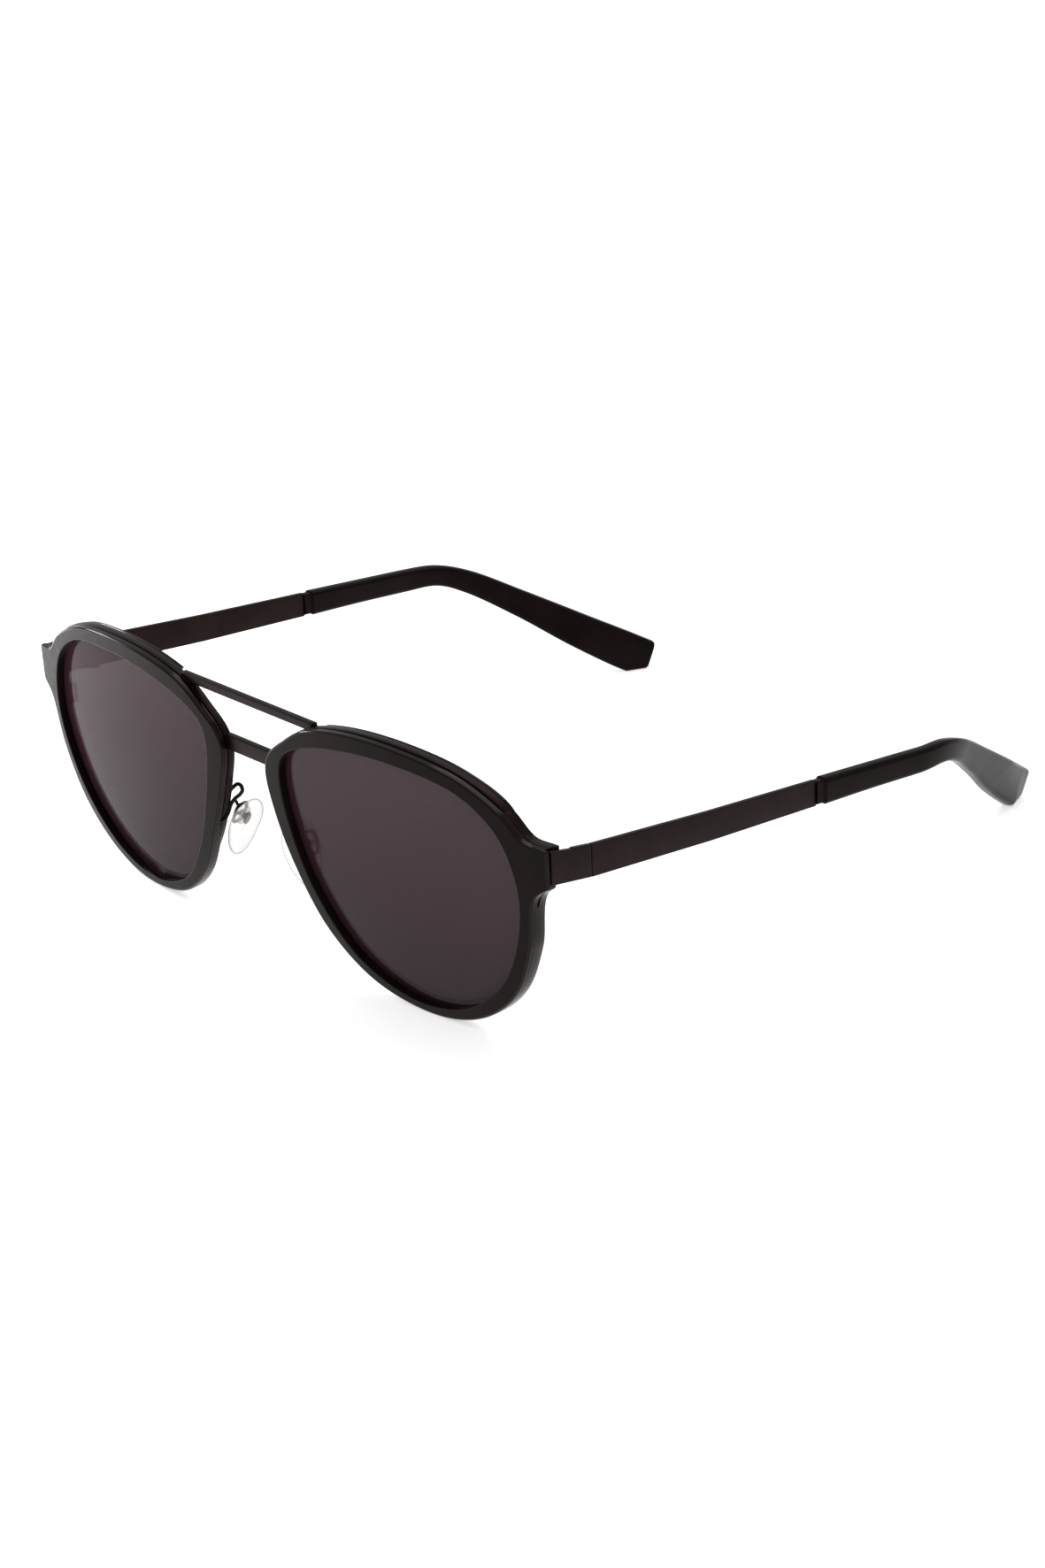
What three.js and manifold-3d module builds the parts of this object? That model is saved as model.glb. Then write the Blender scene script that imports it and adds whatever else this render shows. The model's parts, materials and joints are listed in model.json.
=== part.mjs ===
// Aviator sunglasses with a stamped steel chassis, acetate front rims and folding temples.
// Millimetres, +Z up, front of the glasses towards -Y, wearer's left towards +X.
// The origin is the bottom centre of the open glasses, which stand on rims and temple ends.
import * as THREE from 'three';
import { mergeVertices } from 'three/addons/utils/BufferGeometryUtils.js';
import Module from 'manifold-3d';

// Front: the rims and lenses lie on a gently curved surface that is furthest forward here.
const FRONT_X = 17.1;
const FRONT_Z = 42.1;
const WRAP_RADIUS = 196;
const DROP_RADIUS = 158;

// Rim layers, as depths behind the front surface.
const ACETATE_BACK = 1.5;
const WIRE_FRONT = 1.7;
const WIRE_BACK = 3.3;
const LENS_FRONT = 1.65;
const LENS_BACK = 3.45;
const BEVEL_FRONT = 2.25;
const BEVEL_BACK = 2.85;
const TRIM_FRONT = 3.5;
const TRIM_BACK = 4.5;

// Clearances.
const GAP = 0.2;
const GROOVE_GAP = 0.15;
const SEAM_GAP = 0.3;

// Temples, side face and hinge.
const SIDE_X = 71.4;
const SHEET = 1.0;
const SIDE_FRONT_Y = 8.3;
const SEAM_Y = 17.1;
const HINGE_X = 68.5;
const HINGE_Y = 17.3;
const HINGE_Z = 34.8;
const KNUCKLE_HALF_STACK = 1.8;
const KNUCKLE_RADIUS = 1.25;
const KNUCKLE_BORE = 0.8;
const SCREW_RADIUS = 0.62;
const TIP_START_Y = 70.8;
const TIP_THICKNESS = 2.8;
const BEND_START_Y = 97;
const BEND_LENGTH = 16;
const BEND_SLOPE = 0.44;

// Nose pads.
const PAD_BOX = new THREE.Vector3(9.6, 7.2, 21.9);
const PAD_TILT = THREE.MathUtils.degToRad(-20);
const PAD_SPLAY = THREE.MathUtils.degToRad(-18);
const PAD_WIDTH = 7.4;
const PAD_HEIGHT = 12.4;

// Outlines in the front view, [x, z], anticlockwise from the nasal top.
const RIM_OUTLINE = [
  [17, 48.6], [11.5, 45.2], [7.1, 41.6], [5.8, 38.2], [7.2, 31.2], [11.2, 21.2], [17.6, 10.2],
  [26.4, 3.0], [37, 0.17], [46, 0.52], [54.4, 3.9], [61.6, 10.6], [66, 20.4], [68.1, 30.4],
  [70.7, 34.1], [70.7, 39.6], [66.4, 40.8], [62, 44.9], [53.4, 49.2], [41, 51.2], [27, 50.9],
];
const APERTURE_OUTLINE = [
  [16, 44.7], [11.6, 41.9], [10.4, 38], [12.1, 28.3], [16.7, 16.8], [25, 6.5], [37.5, 1.9],
  [49.5, 4.1], [59.2, 12.2], [64.2, 23.4], [64.7, 32.3], [61.4, 40.6], [54, 45.9], [40, 48.0],
  [26, 47.2],
];
const WIRE_OUTLINE = [
  [17, 48.4], [11.7, 45.1], [7.4, 41.5], [6.1, 38.2], [7.5, 31.2], [11.5, 21.2], [16.4, 13.8],
  [24.1, 5.2], [37.4, 0.6], [50.2, 2.6], [60.4, 11.2], [65.8, 23], [66.4, 32.6],
  [64.3, 39.5], [61.6, 44.9], [53.3, 49], [41, 51], [27, 50.7],
];

const OUTLINE_STEPS = 60;
const METAL = { color: 0x2e2826, roughness: 0.42, metalness: 0.85 };
const ACETATE = { color: 0x141212, roughness: 0.32, metalness: 0.0 };
const DARK_METAL = { color: 0x1a1716, roughness: 0.35, metalness: 0.9 };
const LENS_TINT = { color: 0x4a3f44, roughness: 0.06, metalness: 0.0 };
const SILICONE = { color: 0xe9e4e2, roughness: 0.15, metalness: 0.0 };

const wasm = await Module();
wasm.setup();

function toSolid(geometry) {
  const bare = geometry.clone();
  bare.deleteAttribute('normal');
  bare.deleteAttribute('uv');
  const merged = mergeVertices(bare, 1e-4);
  const vertProperties = new Float32Array(merged.attributes.position.array);
  const triVerts = new Uint32Array(merged.index.array);
  return new wasm.Manifold(new wasm.Mesh({ numProp: 3, vertProperties, triVerts }));
}

function toGeometry(solid) {
  const mesh = solid.getMesh();
  const geometry = new THREE.BufferGeometry();
  geometry.setAttribute('position', new THREE.BufferAttribute(mesh.vertProperties, mesh.numProp));
  geometry.setIndex(new THREE.BufferAttribute(mesh.triVerts, 1));
  geometry.computeVertexNormals();
  return geometry;
}

// Depth of the curved front at a place in the front view.
function frontSurface(x, z) {
  const across = (x - FRONT_X) ** 2 / (2 * WRAP_RADIUS);
  const down = (z - FRONT_Z) ** 2 / (2 * DROP_RADIUS);
  return across + down;
}

// How far the temple end has turned inwards at a distance behind the front.
function inwardTurn(y) {
  const past = Math.max(0, y - BEND_START_Y);
  if (past < BEND_LENGTH) {
    return (BEND_SLOPE * past ** 2) / (2 * BEND_LENGTH);
  }
  return BEND_SLOPE * (past - BEND_LENGTH / 2);
}

function moveVertices(geometry, move) {
  const position = geometry.attributes.position;
  const point = new THREE.Vector3();
  for (let i = 0; i < position.count; i += 1) {
    point.fromBufferAttribute(position, i);
    move(point);
    position.setXYZ(i, point.x, point.y, point.z);
  }
  return geometry;
}

function bendToFront(geometry) {
  return moveVertices(geometry, (point) => {
    point.y += frontSurface(point.x, point.z);
  });
}

// A smooth closed outline through a few guide points.
function smoothOutline(guides, steps = OUTLINE_STEPS) {
  const corners = guides.map(([x, z]) => new THREE.Vector3(x, z, 0));
  const curve = new THREE.CatmullRomCurve3(corners, true, 'centripetal');
  return curve.getSpacedPoints(steps).slice(0, steps).map((p) => new THREE.Vector2(p.x, p.y));
}

// The same outline moved outwards by a distance, or inwards by a negative one.
function grow(outline, distance) {
  const count = outline.length;
  return outline.map((point, i) => {
    const before = outline[(i + count - 1) % count];
    const after = outline[(i + 1) % count];
    const along = after.clone().sub(before).normalize();
    return new THREE.Vector2(point.x + along.y * distance, point.y - along.x * distance);
  });
}

// A straight prism of a front-view outline, deep enough to cut the whole front.
function prism(outline) {
  const settings = { depth: 60, bevelEnabled: false };
  const geometry = new THREE.ExtrudeGeometry(new THREE.Shape(outline), settings);
  geometry.rotateX(Math.PI / 2);
  geometry.translate(0, 45, 0);
  return toSolid(geometry);
}

// A curved plate with a fine enough grid to stay smooth across a whole lens.
function curvedPlate(outline, front, back) {
  const slab = new THREE.BoxGeometry(76, back - front, 66, 10, 1, 9);
  slab.translate(38, (front + back) / 2, 25);
  return toSolid(bendToFront(slab)).intersect(prism(outline));
}

// A ring that follows the curved front.
function curvedRing(outline, hole, front, back) {
  return curvedPlate(outline, front, back).subtract(prism(hole));
}

function block(x0, x1, y0, y1, z0, z1) {
  const geometry = new THREE.BoxGeometry(x1 - x0, y1 - y0, z1 - z0);
  geometry.translate((x0 + x1) / 2, (y0 + y1) / 2, (z0 + z1) / 2);
  return toSolid(geometry);
}

// An upright cylinder between two heights.
function post(x, y, radius, bottom, top, sides = 20) {
  const geometry = new THREE.CylinderGeometry(radius, radius, top - bottom, sides);
  geometry.rotateX(Math.PI / 2);
  geometry.translate(x, y, (bottom + top) / 2);
  return toSolid(geometry);
}

// A closed round bar along a smooth path.
function roundBar(points, radius, steps) {
  const section = new THREE.Shape();
  section.absarc(0, 0, radius, 0, 2 * Math.PI);
  const extrudePath = new THREE.CatmullRomCurve3(points.map((p) => new THREE.Vector3(...p)));
  const settings = { steps, extrudePath, curveSegments: 4, bevelEnabled: false };
  return toSolid(new THREE.ExtrudeGeometry(section, settings));
}

// A flat side piece: a side-view outline [y, z] with a thickness across x.
function sidePlate(outline, inside, outside) {
  const shape = new THREE.Shape(outline.map(([y, z]) => new THREE.Vector2(y, z)));
  const settings = { depth: outside - inside, bevelEnabled: false };
  const geometry = new THREE.ExtrudeGeometry(shape, settings);
  geometry.rotateX(Math.PI / 2);
  geometry.rotateZ(Math.PI / 2);
  geometry.translate(inside, 0, 0);
  return toSolid(geometry);
}

const rimOutline = smoothOutline(RIM_OUTLINE);
const apertureOutline = smoothOutline(APERTURE_OUTLINE);
const wireOutline = smoothOutline(WIRE_OUTLINE);

// The pair of blocks that close the split eyewire, around the place of their screw.
const CLOSING_X = 65.6;
const CLOSING_Z = 30.6;
const CLOSING_Y = frontSurface(CLOSING_X, CLOSING_Z) + WIRE_BACK + 0.4;

function closingBlocks(extra) {
  const half = 0.75 + extra;
  return block(
    CLOSING_X - half, CLOSING_X + half, CLOSING_Y - half, CLOSING_Y + half,
    CLOSING_Z - 1.9 - extra, CLOSING_Z + 1.9 + extra,
  );
}

// Acetate rim: full depth at the outer and lower sides, and cut back over the steel elsewhere.
function frontRim() {
  const ring = curvedRing(rimOutline, apertureOutline, 0, WIRE_BACK);
  const wireRoom = curvedPlate(grow(wireOutline, GAP), ACETATE_BACK, WIRE_BACK + 1);
  const behind = curvedPlate(grow(rimOutline, 3), ACETATE_BACK, WIRE_BACK + 2);
  const nasalSide = block(0, 13, -5, 30, 23.5, 60);
  const topSide = block(0, 63.5, -5, 30, 41.5, 60);
  const tabSide = block(63.5, 72, -5, 30, 33.4, 60);
  const steelShows = behind.intersect(nasalSide.add(topSide).add(tabSide));
  const sideRoom = block(SIDE_X - SHEET - GAP, SIDE_X + 2, 0, 20, 30, 44);
  const slot = block(66.9, 67.4, 8.6, 20, 28.6, 31.4);
  const rooms = [wireRoom, steelShows, sideRoom, closingBlocks(GAP), slot];
  return rooms.reduce((solid, room) => solid.subtract(room), ring);
}

function lens() {
  const body = curvedPlate(apertureOutline, LENS_FRONT, LENS_BACK);
  const bevel = curvedPlate(grow(apertureOutline, 0.55), BEVEL_FRONT, BEVEL_BACK);
  return body.add(bevel);
}

// Steel eyewire: a grooved ring, split at its outer side between two closing blocks.
function eyewire() {
  const inner = grow(apertureOutline, GROOVE_GAP);
  const groove = grow(apertureOutline, 0.55 + GROOVE_GAP);
  const ring = curvedRing(wireOutline, inner, WIRE_FRONT, WIRE_BACK);
  const channel = curvedPlate(groove, BEVEL_FRONT - GROOVE_GAP, BEVEL_BACK + GROOVE_GAP);
  const split = block(60, 70, 0, 30, CLOSING_Z - 0.2, CLOSING_Z + 0.2);
  const bore = post(CLOSING_X, CLOSING_Y, 0.45, CLOSING_Z - 2.2, CLOSING_Z + 2.2, 12);
  return ring.subtract(channel).add(closingBlocks(0).subtract(prism(inner))).subtract(split).subtract(bore);
}

// Headless screw that draws the two closing blocks together.
function closingScrew() {
  return post(CLOSING_X, CLOSING_Y, 0.33, CLOSING_Z - 1.8, CLOSING_Z + 1.8, 12);
}

// Dark strip that backs the steel along the top of the rim, from the brow bar to the side.
function browTrim() {
  const ring = curvedRing(
    grow(wireOutline, -0.15), grow(wireOutline, -2.3), TRIM_FRONT, TRIM_BACK,
  );
  const reach = block(20.2, 68.4, -5, 30, 38.6, 55);
  return ring.intersect(reach);
}

// Steel end piece: a tab behind the acetate and a side face that runs back to the hinge.
function endPiece() {
  const tabOutline = [[67, 34.3], [71, 34.3], [71, 39.3], [66, 39.3]];
  const tab = curvedPlate(tabOutline.map(([x, z]) => new THREE.Vector2(x, z)), WIRE_FRONT, 3);
  const side = sidePlate([
    [SIDE_FRONT_Y, 34.05], [SEAM_Y, 32.85], [SEAM_Y, 38.6], [13.3, 39.05], [13.2, 38.9],
    [SIDE_FRONT_Y, 39.7],
  ], SIDE_X - SHEET, SIDE_X);
  return tab.subtract(prism(grow(wireOutline, GAP))).add(side);
}

function knuckle(bottom, top, reachY, plateY0, plateY1) {
  const barrel = post(HINGE_X, HINGE_Y, KNUCKLE_RADIUS, bottom, top);
  const webY0 = Math.min(HINGE_Y, reachY);
  const webY1 = Math.max(HINGE_Y, reachY);
  const web = block(HINGE_X + 0.3, HINGE_X + 1.25, webY0, webY1, bottom, top);
  const leafBottom = HINGE_Z - KNUCKLE_HALF_STACK;
  const leafTop = HINGE_Z + KNUCKLE_HALF_STACK;
  const plate = block(HINGE_X + 0.95, HINGE_X + 1.7, plateY0, plateY1, leafBottom, leafTop);
  const bore = post(HINGE_X, HINGE_Y, KNUCKLE_BORE, bottom - 1, top + 1);
  return barrel.add(web).add(plate).subtract(bore);
}

// Two knuckles on a leaf fixed inside the end piece.
function frontHinge() {
  const lower = knuckle(HINGE_Z - KNUCKLE_HALF_STACK, HINGE_Z - 0.75, 15, 11.2, 15.6);
  const upper = knuckle(HINGE_Z + 0.75, HINGE_Z + KNUCKLE_HALF_STACK, 15, 11.2, 15.6);
  return lower.add(upper);
}

// One knuckle on a leaf fixed inside the temple arm.
function templeHinge() {
  return knuckle(HINGE_Z - 0.6, HINGE_Z + 0.6, 19.6, 19, 25);
}

function hingeScrew() {
  const top = HINGE_Z + KNUCKLE_HALF_STACK;
  const shank = post(HINGE_X, HINGE_Y, SCREW_RADIUS, HINGE_Z - KNUCKLE_HALF_STACK - 0.2, top + 0.2);
  const head = post(HINGE_X, HINGE_Y, 1.1, top + 0.1, top + 0.5);
  return shank.add(head);
}

// Matching points along the temple end's upper and lower edges, [y, z].
const TIP_UPPER = [
  [TIP_START_Y, 33.1], [85, 31.5], [98, 30.1], [106, 28.95], [113, 26.4], [125, 19.75],
  [138, 12.2], [146, 7.55], [150.2, 5.1],
];
const TIP_LOWER = [
  [TIP_START_Y, 28.0], [85, 26.7], [97.5, 25.4], [104.5, 24.3], [109.5, 21.9], [120.5, 15.0],
  [131.5, 6.8], [143.2, 0], [147.6, -2],
];
const TIP_STEPS = 30;

function edgeCurve(points) {
  return new THREE.CatmullRomCurve3(points.map(([y, z]) => new THREE.Vector3(0, y, z)));
}

// A strip inside the temple end: a share of its length, with a height and a thickness.
function tipStrip(share, height, thickness, steps) {
  const upper = edgeCurve(TIP_UPPER);
  const lower = edgeCurve(TIP_LOWER);
  const geometry = new THREE.BoxGeometry(1, 1, 1, 1, steps, 1);
  moveVertices(geometry, (point) => {
    const along = (point.y + 0.5) * share;
    const top = upper.getPoint(along);
    const bottom = lower.getPoint(along);
    const middle = top.clone().lerp(bottom, 0.5);
    const rise = top.clone().sub(bottom);
    const reach = height === null ? 1 : height / rise.length();
    const place = middle.addScaledVector(rise, point.z * reach);
    const x = SIDE_X - SHEET / 2 - inwardTurn(place.y) + point.x * thickness;
    point.set(x, place.y, place.z);
  });
  return toSolid(geometry);
}

// Steel arm with a thin core that runs on inside the temple end.
function templeArm() {
  const plate = sidePlate([
    [SEAM_Y + SEAM_GAP, 32.8], [TIP_START_Y - SEAM_GAP, 28.2], [TIP_START_Y - SEAM_GAP, 32.95],
    [SEAM_Y + SEAM_GAP, 38.5],
  ], SIDE_X - SHEET, SIDE_X);
  const core = tipStrip(0.8, 2.2, 0.8, 20);
  const root = block(SIDE_X - 0.9, SIDE_X - 0.1, 68, 72, 29.4, 31.6);
  return plate.add(core).add(root);
}

function templeTip() {
  const body = tipStrip(1, null, TIP_THICKNESS, TIP_STEPS);
  const coreRoom = tipStrip(0.82, 2.9, 1.5, 20);
  const mouth = block(SIDE_X - 1.25, SIDE_X + 0.25, 68, 72.5, 29.05, 31.95);
  const below = block(30, 90, 130, 160, -10, 0);
  return body.subtract(coreRoom).subtract(mouth).subtract(below);
}

function padPlacement() {
  const turn = new THREE.Euler(0, PAD_TILT, PAD_SPLAY, 'ZYX');
  return new THREE.Matrix4().makeRotationFromEuler(turn).setPosition(PAD_BOX);
}

// A loop soldered to the eyewire, a strip that leads back from it and a box for the pad's stem.
function padArm() {
  const loop = roundBar([
    [9.0, 5.1, 28.6], [8.0, 4.9, 29.8], [6.4, 4.4, 31.1], [5.0, 4.3, 30.6], [6.0, 4.6, 28.8],
    [8.2, 4.9, 26.6], [9.3, 5.2, 25.0], [10.6, 5.25, 23.6],
  ], 0.4, 18);
  const strip = roundBar([
    [5.6, 4.4, 30.2], [6.6, 5.4, 29.2], [8.2, 6.3, 27.2], [8.6, 6.9, 24.8], [8.7, 7.05, 24.0],
  ], 0.55, 8);
  const outer = new THREE.BoxGeometry(1, 3.2, 4.8);
  const inner = new THREE.BoxGeometry(3, 2.0, 3.6);
  const box = toSolid(outer.applyMatrix4(padPlacement()));
  const room = toSolid(inner.applyMatrix4(padPlacement()));
  return loop.add(strip).add(box).subtract(room);
}

function padOutline() {
  const half = PAD_WIDTH / 2;
  const rise = PAD_HEIGHT / 2;
  return smoothOutline([
    [0.3, rise], [-half * 0.8, rise * 0.62], [-half, -rise * 0.1], [-half * 0.72, -rise * 0.78],
    [0.2, -rise], [half * 0.78, -rise * 0.72], [half, -rise * 0.05], [half * 0.82, rise * 0.66],
  ], 22);
}

// Clear silicone pad with a boss that holds the metal insert.
function nosePad() {
  const shape = new THREE.Shape(padOutline().map((p) => new THREE.Vector2(p.x * 0.86, p.y * 0.9)));
  const settings = { depth: 1.0, bevelThickness: 0.55, bevelSize: 0.55, bevelSegments: 2 };
  const body = new THREE.ExtrudeGeometry(shape, settings);
  body.rotateX(Math.PI / 2);
  body.rotateZ(Math.PI / 2);
  body.translate(-2.95, 0, 0);
  const boss = new THREE.CylinderGeometry(1.9, 1.9, 1.2, 18);
  boss.rotateZ(Math.PI / 2);
  boss.scale(1, 1, 1.25);
  boss.translate(-1.6, 0, 0);
  return toSolid(body).add(toSolid(boss)).subtract(insertSolid(GROOVE_GAP));
}

// Metal insert: a small plate held in the silicone and a stem that enters the pad arm's box.
function insertSolid(extra) {
  const plate = new THREE.CylinderGeometry(1.2 + extra, 1.2 + extra, 0.6 + 2 * extra, 16);
  plate.rotateZ(Math.PI / 2);
  plate.scale(1, 1, 1.3);
  plate.translate(-1.95, 0, 0);
  const stem = new THREE.BoxGeometry(2.2, 1.3 + 2 * extra, 2.6 + 2 * extra);
  stem.translate(-0.75, 0, 0);
  return toSolid(plate).add(toSolid(stem));
}

function mesh(name, solid, look) {
  const piece = new THREE.Mesh(toGeometry(solid), new THREE.MeshStandardMaterial(look));
  piece.name = name;
  return piece;
}

// Every piece of one side, built for the wearer's left.
function buildSide(side) {
  const half = new THREE.Group();
  half.add(mesh(`front_rim_${side}`, frontRim(), ACETATE));
  half.add(mesh(`lens_${side}`, lens(), LENS_TINT));
  half.add(mesh(`eyewire_${side}`, eyewire(), METAL));
  half.add(mesh(`closing_screw_${side}`, closingScrew(), DARK_METAL));
  half.add(mesh(`brow_trim_${side}`, browTrim(), ACETATE));
  half.add(mesh(`end_piece_${side}`, endPiece(), METAL));
  half.add(mesh(`front_hinge_${side}`, frontHinge(), DARK_METAL));
  half.add(mesh(`temple_hinge_${side}`, templeHinge(), DARK_METAL));
  half.add(mesh(`hinge_screw_${side}`, hingeScrew(), DARK_METAL));
  half.add(mesh(`temple_arm_${side}`, templeArm(), METAL));
  half.add(mesh(`temple_tip_${side}`, templeTip(), ACETATE));
  half.add(mesh(`pad_arm_${side}`, padArm(), DARK_METAL));
  const padGroup = new THREE.Group();
  padGroup.applyMatrix4(padPlacement());
  padGroup.add(mesh(`nose_pad_${side}`, nosePad(), SILICONE));
  padGroup.add(mesh(`pad_insert_${side}`, insertSolid(0), DARK_METAL));
  half.add(padGroup);
  return half;
}

function browBar() {
  const bar = block(-19.5, 19.5, 1.8, 3.2, 48.0, 49.6);
  return cutAtRims(bar);
}

function lowerBridge() {
  const bar = block(-8, 8, 1.9, 3.3, 37.9, 40.8);
  return cutAtRims(bar);
}

// Ends a cross bar just short of both eyewires.
function cutAtRims(bar) {
  const left = grow(wireOutline, GAP);
  const right = left.map((point) => new THREE.Vector2(-point.x, point.y));
  return bar.subtract(prism(left)).subtract(prism(right));
}

const glasses = new THREE.Group();
const rightSide = buildSide('right');
rightSide.scale.x = -1;
glasses.add(buildSide('left'));
glasses.add(rightSide);
glasses.add(mesh('brow_bar', browBar(), METAL));
glasses.add(mesh('lower_bridge', lowerBridge(), METAL));

const extent = new THREE.Box3().setFromObject(glasses);
glasses.position.set(0, -(extent.min.y + extent.max.y) / 2, -extent.min.z);

export default glasses;
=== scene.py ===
"""Aviator sunglasses: acetate front rims on a steel chassis, tinted lenses and folding temples.

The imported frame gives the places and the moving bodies. Every visible piece is a fine surface
worked out with numpy around those places, in millimetres, and written to the mesh in metres.
"""

import json
import logging
import math
from dataclasses import dataclass, field
from enum import Enum
from typing import Optional, Sequence

import bmesh
import bpy
import numpy as np
from mathutils import Matrix, Vector


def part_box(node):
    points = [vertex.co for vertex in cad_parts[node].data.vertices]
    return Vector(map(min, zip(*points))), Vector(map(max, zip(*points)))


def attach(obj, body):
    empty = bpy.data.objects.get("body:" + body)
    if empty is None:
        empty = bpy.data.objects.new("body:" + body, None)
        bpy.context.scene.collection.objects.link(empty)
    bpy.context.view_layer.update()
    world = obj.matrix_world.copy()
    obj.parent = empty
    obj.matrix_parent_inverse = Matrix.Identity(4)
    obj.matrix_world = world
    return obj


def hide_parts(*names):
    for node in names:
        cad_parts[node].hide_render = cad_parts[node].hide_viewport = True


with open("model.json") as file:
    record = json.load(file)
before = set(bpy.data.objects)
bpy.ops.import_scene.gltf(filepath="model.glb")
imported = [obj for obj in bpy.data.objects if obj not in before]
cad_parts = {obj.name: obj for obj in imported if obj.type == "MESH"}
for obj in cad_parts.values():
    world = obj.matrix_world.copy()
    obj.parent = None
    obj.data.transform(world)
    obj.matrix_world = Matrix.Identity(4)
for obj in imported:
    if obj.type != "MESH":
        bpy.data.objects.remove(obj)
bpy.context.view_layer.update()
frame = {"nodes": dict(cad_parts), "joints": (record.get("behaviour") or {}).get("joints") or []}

log = logging.getLogger("sunglasses")
MM = 0.001
Array = np.ndarray


class Side(Enum):
    """The wearer's left or right half, with the sign of its x axis."""

    LEFT = "left"
    RIGHT = "right"

    @property
    def sign(self) -> float:
        """+1 on the wearer's left, -1 on the right."""
        return 1.0 if self is Side.LEFT else -1.0

    def node(self, stem: str) -> str:
        """Name of this side's CAD node."""
        return f"{stem}_{self.value}"


class Slot(Enum):
    """Material slots of the record."""

    ACETATE = "acetate"
    STEEL = "dark_steel"
    HINGE = "hinge_steel"
    LENS = "tinted_lens"
    SILICONE = "silicone"


# ---------------------------------------------------------------------------------------------
# Finishes
# ---------------------------------------------------------------------------------------------


class NodeSheet:
    """A small helper that adds nodes to one material and joins them."""

    def __init__(self, name: str) -> None:
        """Start a node material.

        Args:
            name: the material's name.
        """
        self.material = bpy.data.materials.new(name)
        self.material.use_nodes = True
        self.tree = self.material.node_tree
        self.shader = self.tree.nodes["Principled BSDF"]
        self.place = self.add("ShaderNodeTexCoord").outputs["Object"]

    def add(self, kind: str, **values: object) -> bpy.types.Node:
        """Add a node and set its properties.

        Args:
            kind: the node's type name.
            **values: properties of the node itself.

        Returns:
            The new node.
        """
        node = self.tree.nodes.new(kind)
        for key, value in values.items():
            setattr(node, key, value)
        return node

    def link(self, source: bpy.types.NodeSocket, target: bpy.types.NodeSocket) -> None:
        """Join an output to an input."""
        self.tree.links.new(source, target)

    def noise(self, grain_mm: float, detail: float = 3.0, rough: float = 0.55,
              stretch: Sequence[float] = (1, 1, 1)) -> bpy.types.NodeSocket:
        """A cloud pattern of a given grain on object coordinates.

        Args:
            grain_mm: size of the pattern's grain.
            detail: number of finer octaves.
            rough: strength of each finer octave.
            stretch: scale of the pattern along x, y and z.

        Returns:
            The pattern's value, from 0 to 1.
        """
        mapping = self.add("ShaderNodeMapping")
        mapping.inputs["Scale"].default_value = tuple(stretch)
        texture = self.add("ShaderNodeTexNoise")
        texture.inputs["Scale"].default_value = 1.0 / (grain_mm * MM)
        texture.inputs["Detail"].default_value = detail
        texture.inputs["Roughness"].default_value = rough
        self.link(self.place, mapping.inputs["Vector"])
        self.link(mapping.outputs["Vector"], texture.inputs["Vector"])
        return texture.outputs["Fac"]

    def spread(self, value: bpy.types.NodeSocket, low: float, high: float,
               start: float = 0.3, end: float = 0.7) -> bpy.types.NodeSocket:
        """Map a pattern's middle range to a range of numbers.

        Args:
            value: the pattern.
            low: the result where the pattern is at start.
            high: the result where the pattern is at end.
            start: pattern value that gives low.
            end: pattern value that gives high.

        Returns:
            The mapped value.
        """
        node = self.add("ShaderNodeMapRange")
        for name, number in zip(("From Min", "From Max", "To Min", "To Max"),
                                (start, end, low, high)):
            node.inputs[name].default_value = number
        self.link(value, node.inputs["Value"])
        return node.outputs["Result"]

    def blend(self, factor: bpy.types.NodeSocket, first: Sequence[float],
              second: Sequence[float]) -> bpy.types.NodeSocket:
        """Mix two colours by a pattern.

        Args:
            factor: the pattern.
            first: colour where it is 0.
            second: colour where it is 1.

        Returns:
            The mixed colour.
        """
        node = self.add("ShaderNodeMix", data_type="RGBA")
        node.inputs["A"].default_value = (*first, 1.0)
        node.inputs["B"].default_value = (*second, 1.0)
        self.link(factor, node.inputs["Factor"])
        return node.outputs["Result"]

    def bump(self, height: bpy.types.NodeSocket, depth_mm: float, strength: float) -> None:
        """Give the shader a fine relief.

        Args:
            height: the relief's pattern.
            depth_mm: its depth.
            strength: how much of it shows.
        """
        node = self.add("ShaderNodeBump")
        node.inputs["Strength"].default_value = strength
        node.inputs["Distance"].default_value = depth_mm * MM
        self.link(height, node.inputs["Height"])
        self.link(node.outputs["Normal"], self.shader.inputs["Normal"])

    def put(self, socket: str, value: object) -> None:
        """Set a constant straight on a socket of the shader."""
        self.shader.inputs[socket].default_value = value

    def feed(self, socket: str, value: bpy.types.NodeSocket) -> None:
        """Join a pattern to a socket of the shader."""
        self.link(value, self.shader.inputs[socket])


@dataclass(frozen=True)
class Acetate:
    """Black cellulose acetate: a deep black body with faint mottling under its surface."""

    name: str
    roughness: float
    roughness_change: float
    body: tuple[float, float, float] = (0.0050, 0.0030, 0.0028)
    mottle: tuple[float, float, float] = (0.0085, 0.0050, 0.0046)
    specular: float = 0.07
    gloss_tint: tuple[float, float, float, float] = (1.0, 0.86, 0.84, 1.0)
    grain_depth_mm: float = 0.004

    def make(self) -> bpy.types.Material:
        """Build the node material."""
        sheet = NodeSheet(self.name)
        cloud = sheet.noise(6.0, detail=4.0)
        sheet.feed("Base Color", sheet.blend(sheet.spread(cloud, 0, 1), self.body, self.mottle))
        wipe = sheet.noise(1.6, detail=3.0, stretch=(1, 0.5, 1))
        low = self.roughness - self.roughness_change
        high = self.roughness + self.roughness_change
        sheet.feed("Roughness", sheet.spread(wipe, low, high))
        sheet.put("Specular IOR Level", self.specular)
        sheet.put("Specular Tint", self.gloss_tint)
        sheet.bump(sheet.noise(0.22, detail=2.0), self.grain_depth_mm, 0.5)
        return sheet.material


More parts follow.
